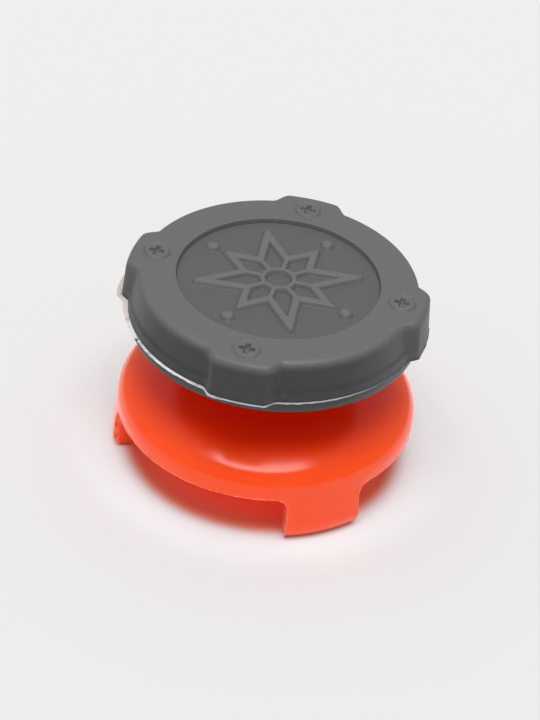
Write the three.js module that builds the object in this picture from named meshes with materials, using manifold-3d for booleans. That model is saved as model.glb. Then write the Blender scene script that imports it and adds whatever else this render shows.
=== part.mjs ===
// A clip-on thumb grip for a game controller's thumbstick.
// A glossy orange plastic spool has a dished flange with three snap clips at its foot and a plate
// at the top of its stem. A dark grey rubber pad is moulded round that plate, with four lobes on
// its edge, a moulded screw head on each lobe, and a raised rosette in a shallow round recess.
// Millimetres, +Z up. The origin is on the surface that the clips stand on, under the stem's axis.
import * as THREE from "three";
import { mergeVertices, toCreasedNormals } from "three/addons/utils/BufferGeometryUtils.js";
import Module from "manifold-3d";

const wasm = await Module();
wasm.setup();

// Spool: the flange and its clips
const RIM_RADIUS = 12.05; // widest point of the flange; the pad's radii follow from it
const RIM_EDGE_Z = 4; // lower edge of the flange between the clips
const RIM_LAND = 0.7; // height of the widest point above that edge
const SHOULDER_ROUND = 2; // convex round of the flange's shoulder
const SHOULDER_TURN = 60; // degrees of that round, from the widest point upwards
const CLIP_FLARE = 0.25; // how far the clips lean out below the rim
const CLIP_WALL = 1.2; // at the widest point of that lean
const CLIP_COUNT = 3;
const CLIP_ANGLE = 29.3; // degrees that one clip spans
const CLIP_FIRST = -52.5; // direction of the first clip's middle, in degrees from +X
const CLIP_TIP_ROUND = 1.5; // height of the rounded outer edge at a clip's tip
const CLIP_TIP_FLAT = 0.5; // width of the flat that a clip stands on
const CLIP_CORNER = 1.05; // inner round where a clip meets the flange's edge
const HOOK_REACH = 0.5; // how far a clip's hook stands into the socket
const HOOK_Z = 0.9; // where the hook's lead-in ends
const HOOK_LEAD = 0.25; // how far the lead-in slopes back at the tip
const HOOK_LAND = 0.4; // height of the hook's straight part
const SOCKET_RIM_DEPTH = 5.2; // the socket's ceiling beside its wall
const SOCKET_DEPTH = 6.6; // the socket's ceiling in the middle
const SOCKET_CENTRE_RADIUS = 6.5;
const SOCKET_ROUND = 0.6;

// Spool: the stem and the plate inside the pad
const STEM_RADIUS = 5;
const STEM_STRAIGHT = 0.6; // straight part of the stem below the pad
const SWEEP_OUT = 3.4; // how far the sweep keeps the shoulder's slope
const SWEEP_UP = 2.6; // how far the sweep keeps the stem's line
const PLATE_COVER = 1.4; // rubber round the plate, up to the top of the pad's wall
const PLATE_THICKNESS = 1.5;
const MOULD_GAP = 0.05; // between the plate and the rubber round it

// Pad
const PAD_BOTTOM_Z = 12.3;
const PAD_HEIGHT = 4.4;
const PAD_FLOOR = 1.2; // rubber under the plate
const BAND_SETBACK = 0.1; // how far the lower band lies back from the lip
const BAND_HEIGHT = 1.05; // up to the parting line
const BAND_ROUND = 0.3;
const LIP_HEIGHT = 0.95;
const STEP = 0.12; // ledge between the lip and the wall
const WALL_LEAN = 0.45; // how far the wall's top lies back from the lip
const EDGE_ROUND = 0.72; // top edge of the round body
const FLASH_REACH = 0.2; // the thin fin left at the parting line
const FLASH_THICKNESS = 0.15;
const FLASH_SPREAD = 1; // degrees by which the fin runs past a lobe's flanks

// Lobes and their moulded screw heads
const LOBE_COUNT = 4;
const LOBE_REACH = 0.15; // how far the lobes' outer faces lie outside the flange's rim
const LOBE_STAND = 0.55; // how far they stand out from the lip
const LOBE_FLAT_ANGLE = 21; // degrees of a lobe's outer face
const LOBE_FOOT_ANGLE = 29; // degrees of a lobe where it leaves the body
const LOBE_EDGE_ROUND = 0.5;
const SCREW_INSET = 2.3; // from a lobe's outer face to the middle of its screw head
const SCREW_HEAD_RADIUS = 1.05;
const SCREW_HEAD_HEIGHT = 0.1;
const SCREW_SLOT_LENGTH = 1.1;
const SCREW_SLOT_WIDTH = 0.3;
const SCREW_SLOT_DEPTH = 0.2;

// Recess and the raised rosette in it
const RECESS_INSET = 4.2; // from a lobe's outer face to the recess
const RECESS_DEPTH = 0.4;
const RELIEF_HEIGHT = 0.33;
const STAR_POINTS = 8;
const STAR_LONG_RADIUS = 6.1;
const STAR_SHORT_RADIUS = 4.8;
const STAR_VALLEY_RADIUS = 2.8;
const STAR_TIP_RADIUS = 6.7; // where the long points are cut off blunt
const STAR_TURN = 22; // degrees that the star's first long point is turned from +X
const STROKE = 0.7;
const SPOKE_WIDTH = 0.5;
const HUB_RADIUS = 1.25;
const DOT_RADIUS = 0.5;
const DOT_CIRCLE_RADIUS = 6.5;

const ROUND_SEGMENTS = 72;
const OVERCUT = 1; // how far a cutter runs past the face that it opens
const ROOT_DEPTH = 0.1; // how deep a raised form is rooted in the rubber
const CREASE = 35; // edges sharper than this many degrees are shaded as edges
const rad = THREE.MathUtils.degToRad;
const deg = THREE.MathUtils.radToDeg;

const orangePlastic = new THREE.MeshStandardMaterial({ color: 0xff4a12, roughness: 0.25, metalness: 0 });
const greyRubber = new THREE.MeshStandardMaterial({ color: 0x5c5a58, roughness: 0.7, metalness: 0 });

// A closed geometry as a solid that can be cut and joined.
function solid(geometry) {
  const bare = geometry.index ? geometry.toNonIndexed() : geometry.clone();
  bare.deleteAttribute("normal");
  bare.deleteAttribute("uv");
  const merged = mergeVertices(bare, 1e-4);
  const corners = merged.index.array;
  const kept = [];
  for (let i = 0; i < corners.length; i += 3) {
    const [a, b, c] = [corners[i], corners[i + 1], corners[i + 2]];
    if (a !== b && b !== c && c !== a) kept.push(a, b, c);
  }
  return new wasm.Manifold(
    new wasm.Mesh({
      numProp: 3,
      vertProperties: merged.attributes.position.array,
      triVerts: new Uint32Array(kept),
    }),
  );
}

// A solid's surface as a named mesh.
function mesh(name, made, material) {
  const surface = made.getMesh();
  const geometry = new THREE.BufferGeometry();
  geometry.setAttribute("position", new THREE.BufferAttribute(surface.vertProperties, 3));
  geometry.setIndex(new THREE.BufferAttribute(surface.triVerts, 1));
  const piece = new THREE.Mesh(toCreasedNormals(geometry, rad(CREASE)), material);
  piece.name = name;
  return piece;
}

const at = (x, y) => new THREE.Vector2(x, y);
const polar = (radius, degrees) => at(radius * Math.cos(rad(degrees)), radius * Math.sin(rad(degrees)));

// Points along an arc, from one angle to the other, both ends included.
function arc(centre, radius, from, to, steps) {
  const step = (to - from) / steps;
  return Array.from({ length: steps + 1 }, (_, i) => polar(radius, from + i * step).add(centre));
}

// A profile of radius and height, turned round the Z axis.
function turned(profile) {
  return solid(new THREE.LatheGeometry(profile, ROUND_SEGMENTS).rotateX(Math.PI / 2));
}

// An outline in the XY plane, raised from one height to another.
function raised(shape, low, high) {
  const geometry = new THREE.ExtrudeGeometry(shape, { depth: high - low, bevelEnabled: false });
  return solid(geometry.translate(0, 0, low));
}

function disc(centre, radius, low, high, segments = 24) {
  const geometry = new THREE.CylinderGeometry(radius, radius, high - low, segments).rotateX(Math.PI / 2);
  return solid(geometry.translate(centre.x, centre.y, (low + high) / 2));
}

// A straight bar between two radii in one direction.
function radialBar(from, to, width, degrees, low, high) {
  const bar = new THREE.BoxGeometry(to - from, width, high - low);
  return solid(bar.translate((from + to) / 2, 0, (low + high) / 2).rotateZ(rad(degrees)));
}

// The plan outline of a ring's sector, between two radii and two directions.
function sector(inner, outer, from, to, steps) {
  const origin = at(0, 0);
  return new THREE.Shape([...arc(origin, outer, from, to, steps), ...arc(origin, inner, to, from, steps)]);
}

// The pad's radii
const lobeRadius = RIM_RADIUS + LOBE_REACH;
const lipRadius = lobeRadius - LOBE_STAND;
const wallTopRadius = lipRadius - WALL_LEAN;
const recessRadius = lobeRadius - RECESS_INSET;

// The spool: one moulding, from the clips' tips to the plate inside the pad
const clipOuter = RIM_RADIUS + CLIP_FLARE;
const clipInner = clipOuter - CLIP_WALL;
const plateRadius = wallTopRadius - PLATE_COVER;
const plateBottom = PAD_BOTTOM_Z + PAD_FLOOR;
const plateTop = plateBottom + PLATE_THICKNESS;

function spoolProfile() {
  const shoulderCentre = at(RIM_RADIUS - SHOULDER_ROUND, RIM_EDGE_Z + RIM_LAND);
  const shoulder = arc(shoulderCentre, SHOULDER_ROUND, 0, SHOULDER_TURN, 6);
  const shoulderEnd = shoulder.at(-1);
  const sweepTop = at(STEM_RADIUS, PAD_BOTTOM_Z - STEM_STRAIGHT);
  const sweep = new THREE.CubicBezierCurve(
    shoulderEnd,
    shoulderEnd.clone().add(polar(SWEEP_OUT, SHOULDER_TURN + 90)),
    at(STEM_RADIUS, sweepTop.y - SWEEP_UP),
    sweepTop,
  );
  const footInner = clipInner - HOOK_REACH + HOOK_LEAD;
  const footOuter = footInner + CLIP_TIP_FLAT;
  const tipWidth = clipOuter - footOuter;
  const tip = new THREE.EllipseCurve(footOuter, CLIP_TIP_ROUND, tipWidth, CLIP_TIP_ROUND, rad(-90), 0);
  return [
    at(0, SOCKET_DEPTH),
    at(SOCKET_CENTRE_RADIUS, SOCKET_DEPTH),
    at(clipInner - 2 * SOCKET_ROUND, SOCKET_RIM_DEPTH),
    at(clipInner, SOCKET_RIM_DEPTH - SOCKET_ROUND),
    at(clipInner, HOOK_Z + HOOK_LAND + HOOK_REACH),
    at(clipInner - HOOK_REACH, HOOK_Z + HOOK_LAND),
    at(clipInner - HOOK_REACH, HOOK_Z),
    at(footInner, 0),
    ...tip.getPoints(4),
    at(RIM_RADIUS, RIM_EDGE_Z),
    ...shoulder,
    ...sweep.getPoints(9).slice(1),
    at(STEM_RADIUS, plateBottom),
    at(plateRadius, plateBottom),
    at(plateRadius, plateTop),
    at(0, plateTop),
  ];
}

// The gap between two clips: square at the foot, with a round corner beside each clip at the top.
function clipGap(middle) {
  const half = (360 / CLIP_COUNT - CLIP_ANGLE) / 2;
  const cornerAngle = deg(CLIP_CORNER / RIM_RADIUS);
  const inner = clipInner - HOOK_REACH - OVERCUT;
  const outer = clipOuter + OVERCUT;
  const cornerZ = RIM_EDGE_Z - CLIP_CORNER;
  const wide = raised(sector(inner, outer, middle - half, middle + half, 12), -OVERCUT, cornerZ);
  const inset = half - cornerAngle;
  const narrow = raised(sector(inner, outer, middle - inset, middle + inset, 12), -OVERCUT, RIM_EDGE_Z);
  const corners = [middle - inset, middle + inset].map((degrees) => {
    const rod = new THREE.CylinderGeometry(CLIP_CORNER, CLIP_CORNER, outer - inner, 16).rotateZ(Math.PI / 2);
    return solid(rod.translate((inner + outer) / 2, 0, cornerZ).rotateZ(rad(degrees)));
  });
  return corners.reduce((gap, rod) => gap.add(rod), wide.add(narrow));
}

function makeSpool() {
  let spool = turned(spoolProfile());
  for (let i = 0; i < CLIP_COUNT; i++) {
    spool = spool.subtract(clipGap(CLIP_FIRST + (360 / CLIP_COUNT) * (i + 0.5)));
  }
  return spool;
}

// The pad: rubber moulded round the plate
const padTop = PAD_BOTTOM_Z + PAD_HEIGHT;
const partingZ = PAD_BOTTOM_Z + BAND_HEIGHT;
const recessFloor = padTop - RECESS_DEPTH;

function padBody() {
  const lipTop = partingZ + LIP_HEIGHT;
  const bandRadius = lipRadius - BAND_SETBACK;
  const edgeCentre = at(wallTopRadius - EDGE_ROUND, padTop - EDGE_ROUND);
  return turned([
    at(0, PAD_BOTTOM_Z),
    at(bandRadius - BAND_ROUND, PAD_BOTTOM_Z),
    at(bandRadius, PAD_BOTTOM_Z + BAND_ROUND),
    at(bandRadius, partingZ),
    at(lipRadius + FLASH_REACH, partingZ),
    at(lipRadius + FLASH_REACH, partingZ + FLASH_THICKNESS),
    at(lipRadius, partingZ + FLASH_THICKNESS),
    at(lipRadius, lipTop),
    at(lipRadius - STEP, lipTop + STEP),
    ...arc(edgeCentre, EDGE_ROUND, 0, 90, 5),
    at(0, padTop),
  ]);
}

// One lobe, with straight flanks and a rounded top edge, and the fin round its foot.
function lobe(degrees) {
  const root = (recessRadius + wallTopRadius) / 2;
  const foot = wallTopRadius - EDGE_ROUND / 2;
  const outline = (outer, spread) => {
    const flatHalf = LOBE_FLAT_ANGLE / 2 + spread;
    const footHalf = LOBE_FOOT_ANGLE / 2 + spread;
    return new THREE.Shape([
      polar(root, degrees - footHalf),
      polar(foot, degrees - footHalf),
      ...arc(at(0, 0), outer, degrees - flatHalf, degrees + flatHalf, 6),
      polar(foot, degrees + footHalf),
      polar(root, degrees + footHalf),
    ]);
  };
  const narrowed = -deg(LOBE_EDGE_ROUND / lobeRadius);
  const block = new THREE.ExtrudeGeometry(outline(lobeRadius - LOBE_EDGE_ROUND, narrowed), {
    depth: padTop - partingZ,
    bevelThickness: LOBE_EDGE_ROUND,
    bevelSize: LOBE_EDGE_ROUND,
    bevelSegments: 3,
  });
  const below = disc(at(0, 0), lobeRadius + OVERCUT, PAD_BOTTOM_Z - OVERCUT, partingZ);
  const above = disc(at(0, 0), lobeRadius + OVERCUT, padTop, padTop + OVERCUT);
  const upper = solid(block.translate(0, 0, partingZ - LOBE_EDGE_ROUND)).subtract(below).subtract(above);
  const fin = outline(lobeRadius + FLASH_REACH, FLASH_SPREAD);
  return upper.add(raised(fin, partingZ, partingZ + FLASH_THICKNESS));
}

// A moulded countersunk screw head with a cross recess.
function withScrewHead(pad, degrees) {
  const centre = polar(lobeRadius - SCREW_INSET, degrees);
  const headTop = padTop + SCREW_HEAD_HEIGHT;
  const headed = pad.add(disc(centre, SCREW_HEAD_RADIUS, padTop - ROOT_DEPTH, headTop));
  const cutHeight = SCREW_SLOT_DEPTH + OVERCUT;
  return [0, 90].reduce((cut, turn) => {
    const slot = new THREE.BoxGeometry(SCREW_SLOT_LENGTH, SCREW_SLOT_WIDTH, cutHeight);
    slot.rotateZ(rad(turn)).translate(centre.x, centre.y, headTop - SCREW_SLOT_DEPTH + cutHeight / 2);
    return cut.subtract(solid(slot));
  }, headed);
}

// A polygon's outline moved outwards by a distance, or inwards by a negative one.
function offsetOutline(points, distance) {
  return points.map((point, i) => {
    const before = points.at(i - 1);
    const after = points[(i + 1) % points.length];
    const inward = point.clone().sub(before).normalize();
    const onward = after.clone().sub(point).normalize();
    const sharpness = 1 + inward.dot(onward);
    const normal = at(inward.y + onward.y, -inward.x - onward.x);
    return point.clone().addScaledVector(normal, distance / sharpness);
  });
}

// The rosette: an eight-pointed star in outline, split by spokes, with a ring at its hub
function rosette() {
  const low = recessFloor - ROOT_DEPTH;
  const high = recessFloor + RELIEF_HEIGHT;
  const pitch = 360 / STAR_POINTS;
  const centreline = [];
  for (let i = 0; i < STAR_POINTS; i++) {
    const tip = i % 2 ? STAR_SHORT_RADIUS : STAR_LONG_RADIUS;
    centreline.push(polar(tip, STAR_TURN + i * pitch));
    centreline.push(polar(STAR_VALLEY_RADIUS, STAR_TURN + (i + 0.5) * pitch));
  }
  const star = new THREE.Shape(offsetOutline(centreline, STROKE / 2));
  star.holes.push(new THREE.Path(offsetOutline(centreline, -STROKE / 2)));
  const hub = disc(at(0, 0), HUB_RADIUS + SPOKE_WIDTH / 2, low, high);
  const hubHole = disc(at(0, 0), HUB_RADIUS - SPOKE_WIDTH / 2, recessFloor, high + OVERCUT);
  const reach = disc(at(0, 0), STAR_TIP_RADIUS, low, high, ROUND_SEGMENTS);
  const pieces = [raised(star, low, high).intersect(reach), hub];
  for (let i = 0; i < STAR_POINTS; i++) {
    const valley = STAR_TURN + (i + 0.5) * pitch;
    pieces.push(radialBar(HUB_RADIUS, STAR_VALLEY_RADIUS, SPOKE_WIDTH, valley, low, high));
    if (i % 2) pieces.push(disc(polar(DOT_CIRCLE_RADIUS, STAR_TURN + i * pitch), DOT_RADIUS, low, high, 16));
  }
  return pieces.reduce((all, piece) => all.add(piece)).subtract(hubHole);
}

// The room that the stem and the plate take inside the rubber.
function plateRoom() {
  return turned([
    at(0, PAD_BOTTOM_Z - OVERCUT),
    at(STEM_RADIUS + MOULD_GAP, PAD_BOTTOM_Z - OVERCUT),
    at(STEM_RADIUS + MOULD_GAP, plateBottom - MOULD_GAP),
    at(plateRadius + MOULD_GAP, plateBottom - MOULD_GAP),
    at(plateRadius + MOULD_GAP, plateTop + MOULD_GAP),
    at(0, plateTop + MOULD_GAP),
  ]);
}

function makePad() {
  let pad = padBody();
  const directions = Array.from({ length: LOBE_COUNT }, (_, i) => (360 / LOBE_COUNT) * i);
  for (const degrees of directions) pad = pad.add(lobe(degrees));
  pad = pad.subtract(disc(at(0, 0), recessRadius, recessFloor, padTop + OVERCUT, ROUND_SEGMENTS));
  pad = pad.add(rosette());
  for (const degrees of directions) pad = withScrewHead(pad, degrees);
  return pad.subtract(plateRoom());
}

const thumbGrip = new THREE.Group();
thumbGrip.add(mesh("clip_base", makeSpool(), orangePlastic));
thumbGrip.add(mesh("grip_pad", makePad(), greyRubber));

export default thumbGrip;
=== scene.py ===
from math import cos, pi, radians, sin, tau

import bpy
import numpy as np
from mathutils import Matrix, Vector


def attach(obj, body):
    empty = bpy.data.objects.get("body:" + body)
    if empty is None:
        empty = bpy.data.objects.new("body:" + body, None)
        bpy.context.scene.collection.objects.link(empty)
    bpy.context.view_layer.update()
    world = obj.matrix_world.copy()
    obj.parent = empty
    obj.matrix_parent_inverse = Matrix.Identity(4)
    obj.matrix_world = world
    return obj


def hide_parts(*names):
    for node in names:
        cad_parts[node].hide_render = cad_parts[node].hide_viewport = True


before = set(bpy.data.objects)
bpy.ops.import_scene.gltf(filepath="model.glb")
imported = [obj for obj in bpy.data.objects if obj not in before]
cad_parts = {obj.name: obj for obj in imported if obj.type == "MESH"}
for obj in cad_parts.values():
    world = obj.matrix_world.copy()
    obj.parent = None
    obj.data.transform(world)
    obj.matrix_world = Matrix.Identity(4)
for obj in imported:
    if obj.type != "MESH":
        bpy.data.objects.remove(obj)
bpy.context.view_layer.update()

# Camera. The photo was taken from a little above, in front of one lobe, with a long lens and the
# camera rolled a few degrees. Its place was worked out from the recess, the screw heads and the rim.
MM = 0.001
PAD_TOP = 16.7
RECESS_RADIUS = 8.0
CAMERA_TURN = radians(10.5)
CAMERA_HEIGHT_ANGLE = radians(37.3)
CAMERA_ROLL = radians(5.95)
CAMERA_DISTANCE = 24 * RECESS_RADIUS
CAMERA_LOWERED = 0.815 * RECESS_RADIUS
LENS = 122.9

across = Vector((cos(CAMERA_TURN), sin(CAMERA_TURN), 0))
away = Vector((-sin(CAMERA_TURN), cos(CAMERA_TURN), 0))
upward = Vector((0, 0, 1))
towards_camera = upward * sin(CAMERA_HEIGHT_ANGLE) - away * cos(CAMERA_HEIGHT_ANGLE)
picture_up = upward * cos(CAMERA_HEIGHT_ANGLE) + away * sin(CAMERA_HEIGHT_ANGLE)
camera_data = bpy.data.cameras.new("camera")
camera_data.sensor_fit = "VERTICAL"
camera_data.sensor_height = 36
camera_data.lens = LENS
camera_data.clip_start = 0.01
camera_data.clip_end = 10
camera = bpy.data.objects.new("camera", camera_data)
bpy.context.collection.objects.link(camera)
camera_right = across * cos(CAMERA_ROLL) + picture_up * sin(CAMERA_ROLL)
camera_up = picture_up * cos(CAMERA_ROLL) - across * sin(CAMERA_ROLL)
camera_place = upward * PAD_TOP + towards_camera * CAMERA_DISTANCE - picture_up * CAMERA_LOWERED
axes = Matrix((camera_right, camera_up, towards_camera)).transposed().to_4x4()
camera.matrix_world = Matrix.Translation(camera_place * MM) @ axes
bpy.context.scene.camera = camera

# Spool. One glossy orange injection moulding: a dished flange with three spring clips under its
# rim, a waisted stem, and a plate at the stem's top that the rubber pad is moulded round. The
# flange's edge and the clips were trimmed from the sprue by hand, which left a thin pale burr.
RIM_RADIUS = 12.05
RIM_EDGE_Z = 4.0
RIM_LAND = 0.7
SHOULDER_ROUND = 2.0
SHOULDER_TURN = radians(60)
SWEEP_OUT = 3.4
SWEEP_UP = 2.6
STEM_RADIUS = 5.0
STEM_STRAIGHT = 0.6
PAD_BOTTOM = 12.3
PLATE_RADIUS = 9.8
PLATE_BOTTOM = PAD_BOTTOM + 1.2
PLATE_TOP = PLATE_BOTTOM + 1.5
PLATE_ROUND = 0.15
CLIP_MIDDLES = [radians(-52.5 + 120 * i) for i in range(3)]
CLIP_HALF = radians(14.65)
CLIP_OUTER = 12.3
CLIP_INNER = 11.1
CLIP_CORNER = 1.05
CLIP_TIP_ROUND = 1.5
CLIP_TIP_CORNER = 0.12
FOOT_INNER = 10.85
FOOT_OUTER = 11.35
HOOK_REACH = 0.5
HOOK_LEAD_TOP = 0.9
HOOK_LAND_TOP = 1.3
HOOK_TOP = 1.8
BURR_ROUND = 0.07
BURR_HEIGHT = 0.09
BURR_WIDTH = 0.3
BURR_ON_SIDE = 0.7
TRIM_WAVE = 0.025
SKIRT_TOP = RIM_EDGE_Z + 0.2
SOCKET_RIM_DEPTH = 5.2
SOCKET_DEPTH = 6.6
SOCKET_CENTRE_RADIUS = 6.5


def smooth_step(low, high, value):
    share = np.clip((value - low) / (high - low), 0, 1)
    return share * share * (3 - 2 * share)


def wrapped(angle):
    """The same direction, between -180 and 180 degrees."""
    return (angle + pi) % tau - pi


def skin(name, angles, levels, closed=True):
    """A mesh of rings, in millimetres: each level is (radius, height), each a number or one per angle.
    With closed, the first and last levels end in a point on the axis."""
    rings = []
    for radius, height in levels:
        radius = np.broadcast_to(radius, angles.shape)
        height = np.broadcast_to(height, angles.shape)
        rings.append(np.column_stack((radius * np.cos(angles), radius * np.sin(angles), height)))
    count = len(angles)
    verts = np.concatenate(rings) * MM
    faces = []
    for level in range(len(rings) - 1):
        here = level * count
        there = here + count
        for i in range(count):
            j = (i + 1) % count
            faces.append((here + i, there + i, there + j, here + j))
    if closed:
        first = np.array([[0, 0, np.mean(rings[0][:, 2])]]) * MM
        last = np.array([[0, 0, np.mean(rings[-1][:, 2])]]) * MM
        top, end = len(verts), len(verts) + 1
        base = (len(rings) - 1) * count
        verts = np.concatenate((verts, first, last))
        for i in range(count):
            j = (i + 1) % count
            faces.append((top, i, j))
            faces.append((end, base + j, base + i))
    mesh = bpy.data.meshes.new(name)
    mesh.from_pydata(verts.tolist(), [], faces)
    mesh.shade_smooth()
    mesh.set_sharp_from_angle(angle=radians(38))
    piece = bpy.data.objects.new(name, mesh)
    bpy.context.collection.objects.link(piece)
    return piece


def clip_distance(angles):
    """How far each direction lies outside its nearest clip's side, along the rim; negative on a clip."""
    offsets = [np.abs(wrapped(angles - middle)) for middle in CLIP_MIDDLES]
    return (np.min(offsets, axis=0) - CLIP_HALF) * RIM_RADIUS


def skirt_edge(angles):
    """Height of the skirt's lower edge: 0 on a clip, the rim's edge elsewhere, a round corner between."""
    away_from_clip = clip_distance(angles)
    corner_z = RIM_EDGE_Z - CLIP_CORNER
    across_corner = np.clip(away_from_clip - CLIP_CORNER, -CLIP_CORNER, 0)
    rim = corner_z + np.sqrt(CLIP_CORNER**2 - across_corner**2)
    across_tip = np.clip(away_from_clip + CLIP_TIP_CORNER, 0, CLIP_TIP_CORNER)
    tip = CLIP_TIP_CORNER - np.sqrt(CLIP_TIP_CORNER**2 - across_tip**2)
    return np.where(away_from_clip <= 0, tip, rim)


def outer_radius(height):
    """The clips' outer face: it leans out below the rim, and has an elliptic round at the tip."""
    face = np.interp(height, [CLIP_TIP_ROUND, RIM_EDGE_Z], [CLIP_OUTER, RIM_RADIUS])
    drop = np.clip(1 - height / CLIP_TIP_ROUND, 0, 1)
    return FOOT_OUTER + (face - FOOT_OUTER) * np.sqrt(1 - drop**2)


def inner_radius(height):
    """The clips' inner face with its hook: the lead-in, the land and the slope back to the wall."""
    hook = CLIP_INNER - HOOK_REACH
    heights = [0, HOOK_LEAD_TOP, HOOK_LAND_TOP, HOOK_TOP]
    return np.interp(height, heights, [FOOT_INNER, hook, hook, CLIP_INNER])


def spool_angles():
    """Directions round the spool, closer together at the clips' sides and in the corners beside them."""
    around = np.radians(np.arange(0, 360, 1.0))
    near = [-0.5, -0.3, -0.12, -0.1, -0.06, -0.02, 0, 0.01, 0.03, 0.07]
    near += [0.12, 0.19, 0.28, 0.4, 0.55, 0.72, 0.9, 1.05]
    beside = [
        middle + side * (CLIP_HALF + offset / RIM_RADIUS)
        for middle in CLIP_MIDDLES
        for side in (-1, 1)
        for offset in near
    ]
    return np.unique(np.round(np.concatenate((around, beside)) % tau, 6))


def spool_levels(angles):
    """The spool's rings, from the plate's top down its outside to the clips' tips and up the socket."""
    edge = skirt_edge(angles)
    trim = np.random.default_rng(7).normal(0, 1, len(angles))
    trim = np.convolve(np.concatenate((trim[-2:], trim, trim[:2])), [0.1, 0.2, 0.4, 0.2, 0.1], "valid")
    between = smooth_step(0.2, 0.8, clip_distance(angles))
    edge = edge + TRIM_WAVE * trim * between
    levels = [(r, PLATE_TOP) for r in (3.0, 6.0, PLATE_RADIUS - PLATE_ROUND)]
    plate_rounds = [(PLATE_TOP - PLATE_ROUND, 45), (PLATE_TOP - PLATE_ROUND, 0)]
    plate_rounds += [(PLATE_BOTTOM + PLATE_ROUND, turn) for turn in (0, -45, -90)]
    for middle_z, turn in plate_rounds:
        radius = PLATE_RADIUS - PLATE_ROUND * (1 - cos(radians(turn)))
        levels.append((radius, middle_z + PLATE_ROUND * sin(radians(turn))))
    levels += [(7.0, PLATE_BOTTOM), (STEM_RADIUS, PLATE_BOTTOM), (STEM_RADIUS, PAD_BOTTOM)]
    shoulder = Vector((RIM_RADIUS - SHOULDER_ROUND, RIM_EDGE_Z + RIM_LAND))
    start = shoulder + SHOULDER_ROUND * Vector((cos(SHOULDER_TURN), sin(SHOULDER_TURN)))
    slope = Vector((-sin(SHOULDER_TURN), cos(SHOULDER_TURN)))
    stem_end = Vector((STEM_RADIUS, PAD_BOTTOM - STEM_STRAIGHT))
    handles = [stem_end, stem_end - Vector((0, SWEEP_UP)), start + slope * SWEEP_OUT, start]
    for t in np.linspace(0, 1, 41):
        weights = [(1 - t) ** 3, 3 * t * (1 - t) ** 2, 3 * t * t * (1 - t), t**3]
        levels.append(tuple(sum((h * float(w) for w, h in zip(weights, handles)), Vector((0, 0)))))
    for turn in np.linspace(SHOULDER_TURN, 0, 15)[1:]:
        levels.append((shoulder.x + SHOULDER_ROUND * cos(turn), shoulder.y + SHOULDER_ROUND * sin(turn)))
    lowest = edge + BURR_ROUND
    for step, height in enumerate((4.55, 4.4, 4.25, 4.12, RIM_EDGE_Z)):
        height = np.maximum(height, lowest + 0.05 * (1 - step / 5))
        levels.append((outer_radius(height), height))
    rim = levels[-1][1]
    for share in (0.2, 0.4, 0.55, 0.65, 0.72, 0.79, 0.85, 0.9, 0.94, 0.97, 0.99, 1):
        height = rim + (lowest - rim) * share
        levels.append((outer_radius(height), height))
    for turn in np.radians([-45, -90]):
        height = edge + BURR_ROUND * (1 + sin(turn))
        levels.append((outer_radius(edge + BURR_ROUND) - BURR_ROUND * (1 - cos(turn)), height))
    middle = (outer_radius(edge) + inner_radius(edge)) / 2
    levels.append((middle, edge))
    for turn in np.radians([-90, -135]):
        height = edge + BURR_ROUND * (1 + sin(turn))
        levels.append((inner_radius(edge + BURR_ROUND) + BURR_ROUND * (1 + cos(turn)), height))
    for share in (0, 0.1, 0.2, 0.3, 0.42, 0.55, 0.75, 1):
        height = edge + BURR_ROUND + (SKIRT_TOP - edge - BURR_ROUND) * share
        levels.append((inner_radius(height), height))
    levels += [(CLIP_INNER, 4.6), (10.9, 4.82), (10.4, 5.08), (9.9, SOCKET_RIM_DEPTH), (8.2, 5.9)]
    levels += [(SOCKET_CENTRE_RADIUS, SOCKET_DEPTH), (2, SOCKET_DEPTH)]
    return levels


class Wire:
    """A socket in a material's nodes, with arithmetic that adds Math nodes."""

    def __init__(self, finish, socket):
        self.finish = finish
        self.socket = socket

    def calc(self, operation, first, second):
        return self.finish.make("ShaderNodeMath", {"operation": operation}, {0: first, 1: second})

    def __add__(self, other):
        return self.calc("ADD", self, other)

    __radd__ = __add__

    def __mul__(self, other):
        return self.calc("MULTIPLY", self, other)

    __rmul__ = __mul__

    def __sub__(self, other):
        return self.calc("SUBTRACT", self, other)

    def __rsub__(self, other):
        return self.calc("SUBTRACT", other, self)


class Finish:
    """A material under construction. make() adds a node: its settings first, then its inputs."""

    def __init__(self, name):
        self.material = bpy.data.materials.new(name)
        self.material.use_nodes = True
        self.tree = self.material.node_tree
        self.shader = self.tree.nodes["Principled BSDF"]

    def feed(self, socket, value):
        if isinstance(value, Wire):
            self.tree.links.new(value.socket, socket)
        else:
            socket.default_value = value

    def make(self, kind, settings, inputs, output=0):
        node = self.tree.nodes.new(kind)
        for name, value in settings.items():
            setattr(node, name, value)
        for place, value in inputs.items():
            self.feed(node.inputs[place], value)
        return Wire(self, node.outputs[output])

    def place(self):
        return self.make("ShaderNodeTexCoord", {}, {}, "Object")

    def part_of_place(self, axis):
        """The x, y or z of the place, for axis 0, 1 or 2."""
        return self.make("ShaderNodeSeparateXYZ", {}, {0: self.place()}, axis)

    def noise(self, size, detail=2):
        """Noise from 0 to 1 whose spots are about size millimetres across."""
        inputs = {"Vector": self.place(), "Scale": 1 / (size * MM), "Detail": detail}
        return self.make("ShaderNodeTexNoise", {}, inputs, "Fac")

    def ramp(self, value, low, high):
        """0 where value is under low, 1 where it is over high."""
        inputs = {"Value": value, "From Min": low, "From Max": high}
        return self.make("ShaderNodeMapRange", {"interpolation_type": "SMOOTHSTEP"}, inputs)

    def blend(self, share, first, second):
        inputs = {0: share, 6: first, 7: second}
        return self.make("ShaderNodeMix", {"data_type": "RGBA"}, inputs, 2)

    def bump(self, height, distance, strength=1):
        inputs = {"Height": height, "Distance": distance * MM, "Strength": strength}
        return self.make("ShaderNodeBump", {}, inputs)

    def set(self, **sockets):
        for name, value in sockets.items():
            self.feed(self.shader.inputs[name.replace("_", " ")], value)


def grey(value):
    return (value, value, value, 1)


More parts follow.
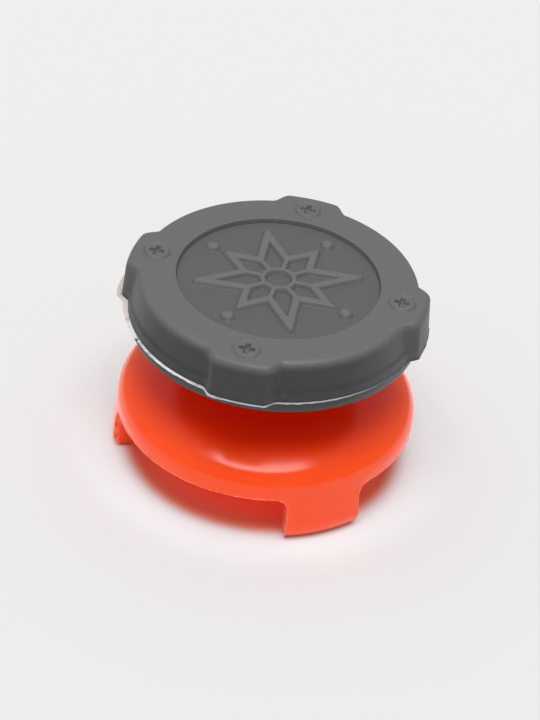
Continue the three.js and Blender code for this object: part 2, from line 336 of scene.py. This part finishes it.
def orange_plastic():
    """Glossy and a little see-through. Painted shade makes it darker and redder inwards,
    under the pad; it is paler out at the flange and at the burr.
    """
    finish = Finish("orange_plastic")
    x = finish.part_of_place(0)
    y = finish.part_of_place(1)
    # Painted shade: darker and redder inwards, where the pad's shade falls on the flange.
    out_of_pad_shade = finish.ramp((x * x + y * y) * 1e6, 55, 135)
    body = finish.blend(out_of_pad_shade, (0.95, 0.022, 0.001, 1), (1.0, 0.078, 0.006, 1))
    burr = finish.make("ShaderNodeAttribute", {"attribute_name": "burr"}, {}, "Fac")
    ragged = finish.ramp(finish.noise(0.5), 0.35, 0.6)
    colour = finish.blend(burr * ragged * 0.6, body, (1.0, 0.5, 0.34, 1))
    rough = finish.ramp(finish.noise(4), 0.3, 0.7) * 0.04 + 0.16
    wave = finish.bump(finish.noise(5, 1), 0.02)
    finish.set(Base_Color=colour, Roughness=rough, Normal=wave, Specular_IOR_Level=0.33)
    finish.set(Subsurface_Weight=0.8, Subsurface_Radius=(1.0, 0.1, 0.02), Subsurface_Scale=3.5 * MM)
    return finish.material


def mark(piece, name, values):
    """Stores one number per vertex for a material to read."""
    layer = piece.data.attributes.new(name, "FLOAT", "POINT")
    layer.data.foreach_set("value", np.asarray(values, dtype=np.float32))


spool_directions = spool_angles()
spool = skin("spool", spool_directions, spool_levels(spool_directions))
corners = np.array([vertex.co for vertex in spool.data.vertices]) / MM
directions = np.arctan2(corners[:, 1], corners[:, 0])
above_edge = corners[:, 2] - skirt_edge(directions)
beside_clip = np.abs(clip_distance(directions))
radii = np.hypot(corners[:, 0], corners[:, 1])
outside = radii > RIM_RADIUS - BURR_WIDTH
low_edge = outside & (np.abs(above_edge) < BURR_HEIGHT) & (corners[:, 2] > 1)
clip_side = outside & (beside_clip < 0.015) & (corners[:, 2] < RIM_EDGE_Z - 0.2)
mark(spool, "burr", np.maximum(low_edge, BURR_ON_SIDE * clip_side))
spool.data.materials.append(orange_plastic())
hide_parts("clip_base")
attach(spool, "root")

# Pad. One matte dark grey rubber moulding round the spool's plate: a disc with four lobes on its
# edge, a moulded cross-head screw on each lobe, and a rosette standing in a shallow round recess.
# The band under the parting line is plain and round, and a faint ledge runs round the wall.
LOBE_COUNT = 4
EDGE_HEIGHT = 0.72
BODY_TOP = 10.5
BODY_UNDER_EDGE = 11.15
BODY_PARTING = 11.62
LOBE_TOP = 11.5
LOBE_UNDER_EDGE = 12.0
LOBE_PARTING = 12.2
LOBE_FLAT = radians(9.8)
LOBE_FOOT_TOP = radians(16)
LOBE_FOOT_PARTING = radians(14.2)
LEDGE_Z = 14.3
LEDGE_DEPTH = 0.13
LEDGE_FADE = (-0.25, 0.2)
PARTING_Z = 13.35
BAND_RADIUS = 11.55
BAND_ROUND = 0.3
MOULD_GAP = 0.05
RECESS_DEPTH = 0.4
RELIEF_HEIGHT = 0.33
STAR_POINTS = 8
STAR_LONG_RADIUS = 6.1
STAR_SHORT_RADIUS = 4.8
STAR_VALLEY_RADIUS = 2.8
STAR_TIP_RADIUS = 6.7
STAR_TURN = radians(22)
STROKE = 0.7
SPOKE_WIDTH = 0.5
HUB_RADIUS = 1.25
DOT_RADIUS = 0.5
DOT_CIRCLE_RADIUS = 6.5
SCREW_CIRCLE_RADIUS = 9.9
SCREW_HEAD_RADIUS = 1.05
SCREW_HEAD_HEIGHT = 0.1
SCREW_SLOT_LENGTH = 1.15
SCREW_SLOT_WIDTH = 0.3
SCREW_SLOT_DEPTH = 0.27
SCREW_SLOT_SOFT = 0.06
SCREW_HEAD_ROUND = 0.16
SCREW_GROOVE_GAP = 0.04
SCREW_GROOVE_WIDTH = 0.08
SCREW_GROOVE_DEPTH = 0.07
SOFT_EDGE = 0.26
RING_START = 8.72


def lobe_share(angles, height):
    """1 on a lobe's outer face, falling to 0 at its feet, which spread a little towards the top."""
    middle_offset = np.abs(wrapped(angles * LOBE_COUNT)) / LOBE_COUNT
    rise = np.clip((height - PARTING_Z) / (PAD_TOP - PARTING_Z), 0, 1)
    foot = LOBE_FOOT_PARTING + (LOBE_FOOT_TOP - LOBE_FOOT_PARTING) * rise
    straight = np.clip((foot - middle_offset) / (foot - LOBE_FLAT), 0, 1)
    return 0.35 * straight + 0.65 * smooth_step(0, 1, straight)


def wall_radius(angles, height):
    """The pad's wall between the parting line and the top edge."""
    steps = [PARTING_Z, PAD_TOP - EDGE_HEIGHT]
    body = np.interp(height, steps, [BODY_PARTING, BODY_UNDER_EDGE + LEDGE_DEPTH])
    body -= LEDGE_DEPTH * smooth_step(LEDGE_Z + LEDGE_FADE[0], LEDGE_Z + LEDGE_FADE[1], height)
    lobe = np.interp(height, steps, [LOBE_PARTING, LOBE_UNDER_EDGE])
    return body + (lobe - body) * lobe_share(angles, height)


def top_radius(angles):
    """Where the flat top ends and the rounded edge starts."""
    return BODY_TOP + (LOBE_TOP - BODY_TOP) * lobe_share(angles, PAD_TOP)


def to_segment(points, start, end):
    """Distance from each point to the straight line between two points."""
    along = end - start
    share = np.clip((points - start) @ along / (along @ along), 0, 1)
    return np.linalg.norm(points - start - share[:, None] * along, axis=1)


def to_outline(points, outline):
    """Distance from each point to a closed outline, negative inside it."""
    distance = np.full(len(points), 1e9)
    inside = np.zeros(len(points), bool)
    for start, end in zip(outline, np.roll(outline, -1, axis=0)):
        distance = np.minimum(distance, to_segment(points, start, end))
        crosses = (start[1] > points[:, 1]) != (end[1] > points[:, 1])
        rise = end[1] - start[1] if abs(end[1] - start[1]) > 1e-9 else 1e-9
        reach = start[0] + (points[:, 1] - start[1]) * (end[0] - start[0]) / rise
        inside ^= crosses & (points[:, 0] < reach)
    return np.where(inside, -distance, distance)


def moved_outline(outline, distance):
    """A closed outline moved outwards by a distance, with its corners kept sharp."""
    inward = outline - np.roll(outline, 1, axis=0)
    inward /= np.linalg.norm(inward, axis=1)[:, None]
    onward = np.roll(inward, -1, axis=0)
    both = inward + onward
    sharpness = 1 + np.sum(inward * onward, axis=1)
    return outline + np.column_stack((both[:, 1], -both[:, 0])) * (distance / sharpness)[:, None]


def on_circle(radius, angle):
    return np.array([radius * cos(angle), radius * sin(angle)])


def rosette_distance(points):
    """Distance to the rosette's strokes: a star in outline, spokes, a ring at the hub, and dots."""
    pitch = tau / STAR_POINTS
    centreline = []
    for i in range(STAR_POINTS):
        centreline.append(on_circle((STAR_LONG_RADIUS, STAR_SHORT_RADIUS)[i % 2], STAR_TURN + i * pitch))
        centreline.append(on_circle(STAR_VALLEY_RADIUS, STAR_TURN + (i + 0.5) * pitch))
    centreline = np.array(centreline)
    outside = to_outline(points, moved_outline(centreline, STROKE / 2))
    inside = to_outline(points, moved_outline(centreline, -STROKE / 2))
    radius = np.linalg.norm(points, axis=1)
    distance = np.maximum(np.maximum(outside, -inside), radius - STAR_TIP_RADIUS)
    distance = np.minimum(distance, np.abs(radius - HUB_RADIUS) - SPOKE_WIDTH / 2)
    for i in range(STAR_POINTS):
        valley = STAR_TURN + (i + 0.5) * pitch
        spoke = to_segment(points, on_circle(HUB_RADIUS, valley), on_circle(STAR_VALLEY_RADIUS, valley))
        distance = np.minimum(distance, spoke - SPOKE_WIDTH / 2)
    for i in range(1, STAR_POINTS, 2):
        dot = on_circle(DOT_CIRCLE_RADIUS, STAR_TURN + i * pitch)
        distance = np.minimum(distance, np.linalg.norm(points - dot, axis=1) - DOT_RADIUS)
    return distance


def top_height(points):
    """Height of the pad's upper face: the recess, the rosette and the screw heads."""
    radius = np.linalg.norm(points, axis=1)
    height = PAD_TOP - RECESS_DEPTH * smooth_step(-0.06, 0.08, RECESS_RADIUS - radius)
    in_recess = radius < RECESS_RADIUS
    strokes = smooth_step(-SOFT_EDGE / 2, SOFT_EDGE / 2, -rosette_distance(points[in_recess]))
    height[in_recess] += RELIEF_HEIGHT * strokes
    for i in range(LOBE_COUNT):
        local = points - on_circle(SCREW_CIRCLE_RADIUS, i * tau / LOBE_COUNT)
        near = np.linalg.norm(local, axis=1)
        head = smooth_step(0, SCREW_HEAD_ROUND, SCREW_HEAD_RADIUS - near)
        groove = np.exp(-(((near - SCREW_HEAD_RADIUS - SCREW_GROOVE_GAP) / SCREW_GROOVE_WIDTH) ** 2))
        aside = np.abs(local)
        one_bar = np.max(aside - (SCREW_SLOT_LENGTH / 2, SCREW_SLOT_WIDTH / 2), axis=1)
        other_bar = np.max(aside - (SCREW_SLOT_WIDTH / 2, SCREW_SLOT_LENGTH / 2), axis=1)
        slot = smooth_step(-SCREW_SLOT_SOFT, SCREW_SLOT_SOFT, -np.minimum(one_bar, other_bar))
        height += SCREW_HEAD_HEIGHT * head - SCREW_GROOVE_DEPTH * groove - SCREW_SLOT_DEPTH * slot
    return height


def pad_angles():
    """Directions round the pad, closer together across the screw heads and the lobes' feet."""
    near_screw = np.arange(-6.6, 6.61, 0.36)
    near_feet = np.arange(7.2, 17, 0.55)
    rest = np.arange(17.4, 45, 0.9)
    half = np.concatenate((near_feet, rest))
    quarter = np.concatenate((-half[::-1], near_screw, half))
    around = np.concatenate([quarter + 90 * i for i in range(LOBE_COUNT)])
    return np.unique(np.round(np.radians(around % 360), 6))


def pad_levels(angles):
    """The pad's rings, from the middle of its top over the edge and the band to the room for the plate."""
    edge = top_radius(angles)
    radii = list(np.arange(0.1, 7.85, 0.1))
    radii += list(np.arange(7.87, 8.12, 0.035))
    radii += [8.25, 8.5]
    rings = [np.full(len(angles), r) for r in radii]
    rings += [RING_START + (edge - RING_START) * share for share in np.linspace(0, 1, 52)]
    levels = []
    for ring in rings:
        points = np.column_stack((ring * np.cos(angles), ring * np.sin(angles)))
        levels.append((ring, top_height(points)))
    under = wall_radius(angles, PAD_TOP - EDGE_HEIGHT)
    for turn in np.linspace(0, pi / 2, 8)[1:]:
        levels.append((edge + (under - edge) * sin(turn), PAD_TOP - EDGE_HEIGHT * (1 - cos(turn))))
    heights = [15.6, 15.1, 14.7, 14.52, 14.44, 14.36, 14.28, 14.2, 14.12, 14.02]
    heights += [13.8, 13.5, PARTING_Z + 0.06]
    levels += [(wall_radius(angles, height), height) for height in heights]
    levels.append((wall_radius(angles, PARTING_Z) - 0.05, PARTING_Z))
    corner = 0.3 * BAND_ROUND
    levels += [(BAND_RADIUS, PARTING_Z - 0.02), (BAND_RADIUS, 13.0), (BAND_RADIUS, PAD_BOTTOM + BAND_ROUND)]
    levels += [(BAND_RADIUS - corner, PAD_BOTTOM + corner), (BAND_RADIUS - BAND_ROUND, PAD_BOTTOM)]
    neck = STEM_RADIUS + MOULD_GAP
    room = PLATE_RADIUS + MOULD_GAP
    levels += [(8.5, PAD_BOTTOM), (neck, PAD_BOTTOM), (neck, PLATE_BOTTOM - MOULD_GAP)]
    levels += [(room, PLATE_BOTTOM - MOULD_GAP), (room, PLATE_TOP + MOULD_GAP), (3, PLATE_TOP + MOULD_GAP)]
    return levels


def grey_rubber():
    """Matte, with fine grain and a few specks, a little smoother outside the recess. Painted light
    and shade: the top face is paler than the wall, which is painted paler towards its left and right.
    """
    finish = Finish("grey_rubber")
    cloud = finish.noise(5, 3)
    grain = finish.noise(0.16, 2)
    speck = finish.ramp(finish.noise(0.45, 1), 0.68, 0.76)
    x = finish.part_of_place(0)
    y = finish.part_of_place(1)
    z = finish.part_of_place(2)
    ring = finish.ramp((x * x + y * y) * 1e6, 62, 65)
    # Painted light on the top face and painted shade on the wall: the top is paler than the wall.
    upper = finish.ramp(z * 1000, PAD_TOP - 0.8, PAD_TOP - 0.1)
    face = finish.blend(ring, (0.120, 0.116, 0.120, 1), (0.111, 0.107, 0.106, 1))
    # Painted side light: the wall is paler towards its left and right, and darkest at the front.
    painted_side_light = finish.ramp(x * x * 1e6, 50, 120)
    wall = finish.blend(painted_side_light, (0.030, 0.028, 0.031, 1), (0.063, 0.059, 0.066, 1))
    body = finish.blend(upper, wall, face)
    body = finish.blend(cloud * 0.1, body, grey(0.12))
    body = finish.blend(speck * 0.1, body, grey(0.2))
    colour = finish.blend(finish.ramp(grain, 0.3, 0.75) * 0.2, body, grey(0.035))
    rough = finish.ramp(cloud, 0.3, 0.7) * 0.06 + 0.6 - ring * 0.1
    pores = finish.bump(grain, 0.018, 0.7)
    finish.set(Base_Color=colour, Roughness=rough, Normal=pores, Specular_IOR_Level=0.4)
    return finish.material


pad_directions = pad_angles()
pad = skin("pad", pad_directions, pad_levels(pad_directions))
pad.data.materials.append(grey_rubber())
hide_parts("grip_pad")
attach(pad, "root")

# Moulding flash. The thin ragged fin of rubber that squeezed out between the mould's halves at
# the parting line. It was left on, widest and palest at one side, and narrow at the front.
FLASH_REACH_AT = [-180, -165, -142.5, -141.8, -141, -140.3, -98, -94, -60, 0, 60, 150, 180]
FLASH_REACH = [0.45, 0.42, 0.22, 0.04, 0.04, 0.2, 0.2, 0.13, 0.11, 0.05, 0.08, 0.12, 0.45]
FLASH_THICKNESS = 0.09
FLASH_ROOT = 0.12
FLASH_COLUMNS = 1440


def ragged(seed, sizes):
    """A wavering number round the pad, from about -1 to 1, with waves of several lengths."""
    dice = np.random.default_rng(seed)
    angles = np.arange(FLASH_COLUMNS) * tau / FLASH_COLUMNS
    total = np.zeros(FLASH_COLUMNS)
    for waves, weight in sizes:
        for _ in range(6):
            count = dice.integers(waves // 2, waves)
            total += weight * np.sin(angles * count + dice.uniform(0, tau)) / 2.4
    return total


def flash_levels(angles):
    """The fin's rings: from its root in the wall out to the ragged edge and back below."""
    teeth = ragged(3, [(30, 0.4), (80, 0.35), (160, 0.2)])
    reach = np.interp(np.degrees(wrapped(angles)), FLASH_REACH_AT, FLASH_REACH)
    wide = reach / max(FLASH_REACH)
    reach = np.clip(reach + (0.035 - 0.015 * wide) * teeth, 0.03, 0.5)
    wall = wall_radius(angles, PARTING_Z)
    lift = 0.03 * ragged(5, [(40, 0.6), (120, 0.4)]) - 0.05 * wide
    middle = PARTING_Z + 0.02
    half = FLASH_THICKNESS / 2
    inner = wall - FLASH_ROOT
    return [
        (inner, middle + half),
        (wall + reach * 0.6, middle + half * 0.9 + lift * 0.6),
        (wall + reach, middle + lift + half * 0.3),
        (wall + reach, middle + lift - half * 0.3),
        (wall + reach * 0.6, middle - half * 0.9 + lift * 0.6),
        (inner, middle - half),
        (inner, middle + half),
    ]


def pale_flash():
    """Ivory where it is widest, at -x, then white and grey, and as dark as the pad at +x."""
    finish = Finish("pale_flash")
    side = finish.part_of_place(0)
    worn = finish.ramp(side, -0.0118, -0.0095)
    tone = finish.blend(worn, (0.54, 0.48, 0.43, 1), (0.6, 0.6, 0.62, 1))
    tone = finish.blend(finish.ramp(side, -0.006, -0.001), tone, (0.36, 0.35, 0.355, 1))
    tone = finish.blend(finish.ramp(side, 0.006, 0.0105), tone, (0.07, 0.07, 0.075, 1))
    dirt = finish.ramp(finish.noise(0.6), 0.45, 0.75) * (worn * 0.35 + 0.25)
    finish.set(Base_Color=finish.blend(dirt, tone, (0.16, 0.155, 0.155, 1)), Roughness=0.6)
    return finish.material


flash_directions = np.arange(FLASH_COLUMNS) * tau / FLASH_COLUMNS
flash = skin("moulding_flash", flash_directions, flash_levels(flash_directions), closed=False)
flash.data.materials.append(pale_flash())
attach(flash, "root")

# Floor and light. A pale sheet on a darker table, lit by a broad soft lamp above that leans to the
# camera and by a pale room. A weak lamp under the flange and a painted red glow on the sheet there
# stand for the light that comes through the thin orange plastic; close round it the sheet is
# painted paler, painted light that lifts the shadow and the pink bounce there.
FLOOR_HALF = 1.2
BACKDROP = grey(0.855)
LAMP_LEAN = radians(-10)
LAMP_WIDTH = radians(38)
LAMP_STRENGTH = 2.8
SKY_FRONT = 0.41
SKY_BACK = 0.15
SKY_LEFT = 0.15
SHEET_SEEN = grey(0.62)
SHEET_PAINTED_LIGHT_CLOSE = (0.69, 0.79, 0.81, 1)
SHEET_PAINTED_GLOW_UNDER = (0.7, 0.31, 0.21, 1)
UNDER_FADE = (0.0104, 0.0117)
CLOSE_FADE = (0.0108, 0.0168)
GLOW_WIDTH = 0.019
GLOW_HEIGHT = 0.0032
GLOW_POWER = 0.00028
GLOW_SPREAD = radians(75)
GLOW_COLOUR = (1.0, 0.05, 0.02)
SHEET_BOUNCE = grey(0.92)
SURROUND_BOUNCE = grey(0.3)
SHEET_EDGE = 0.05
SHEET_FADE = 0.05

floor_mesh = bpy.data.meshes.new("floor")
signs = ((-1, -1), (1, -1), (1, 1), (-1, 1))
square = [(FLOOR_HALF * x, FLOOR_HALF * y, 0) for x, y in signs]
floor_mesh.from_pydata(square, [], [(0, 1, 2, 3)])
floor = bpy.data.objects.new("floor", floor_mesh)
bpy.context.collection.objects.link(floor)
table = Finish("pale_table")
from_middle = table.make("ShaderNodeVectorMath", {"operation": "LENGTH"}, {0: table.place()}, 1)
off_sheet = table.ramp(from_middle, SHEET_EDGE, SHEET_EDGE + SHEET_FADE)
bounce = table.blend(off_sheet, SHEET_BOUNCE, SURROUND_BOUNCE)
# Painted light, seen by the camera only: a red glow on the sheet under the flange, and a paler sheet close
# round it, where the shadow and the pink bounce fall.
sheet = table.blend(table.ramp(from_middle, *UNDER_FADE), SHEET_PAINTED_GLOW_UNDER, SHEET_PAINTED_LIGHT_CLOSE)
sheet = table.blend(table.ramp(from_middle, *CLOSE_FADE), sheet, SHEET_SEEN)
seen = table.make("ShaderNodeLightPath", {}, {}, "Is Camera Ray")
table.set(Base_Color=table.blend(seen, bounce, sheet), Roughness=1.0, Specular_IOR_Level=0.0)
floor_mesh.materials.append(table.material)

lamp_data = bpy.data.lights.new("soft_lamp", "SUN")
lamp_data.energy = LAMP_STRENGTH
lamp_data.angle = LAMP_WIDTH
lamp = bpy.data.objects.new("soft_lamp", lamp_data)
bpy.context.collection.objects.link(lamp)
lamp_direction = upward * cos(LAMP_LEAN) + away * sin(LAMP_LEAN)
lamp.rotation_euler = lamp_direction.to_track_quat("Z", "Y").to_euler()

glow_data = bpy.data.lights.new("glow_lamp", "AREA")
glow_data.shape = "DISK"
glow_data.size = GLOW_WIDTH
glow_data.energy = GLOW_POWER
glow_data.spread = GLOW_SPREAD
glow_data.color = GLOW_COLOUR
glow_lamp = bpy.data.objects.new("glow_lamp", glow_data)
bpy.context.collection.objects.link(glow_lamp)
glow_lamp.location = (0, 0, GLOW_HEIGHT)
glow_lamp.visible_camera = False

world = bpy.data.worlds.new("studio")
bpy.context.scene.world = world
world.use_nodes = True


class Sky(Finish):
    """The world's nodes, made the same way as a material's."""

    def __init__(self, tree):
        self.tree = tree
        self.shader = tree.nodes["Background"]


sky = Sky(world.node_tree)
heading = sky.make("ShaderNodeTexCoord", {}, {}, "Generated")
behind = away * 0.8 + upward * 0.6
leftward = upward * 0.4 - across * 0.9
back = sky.make("ShaderNodeVectorMath", {"operation": "DOT_PRODUCT"}, {0: heading, 1: behind}, 1)
left = sky.make("ShaderNodeVectorMath", {"operation": "DOT_PRODUCT"}, {0: heading, 1: leftward}, 1)
level = sky.ramp(back, 0.1, 1) * SKY_BACK + sky.ramp(left, 0.4, 1) * SKY_LEFT + SKY_FRONT
room = sky.make("ShaderNodeCombineXYZ", {}, {0: level, 1: level, 2: level})
seen = sky.make("ShaderNodeLightPath", {}, {}, "Is Camera Ray")
sky.set(Color=sky.blend(seen, room, BACKDROP))

bpy.context.scene.view_settings.view_transform = "Standard"
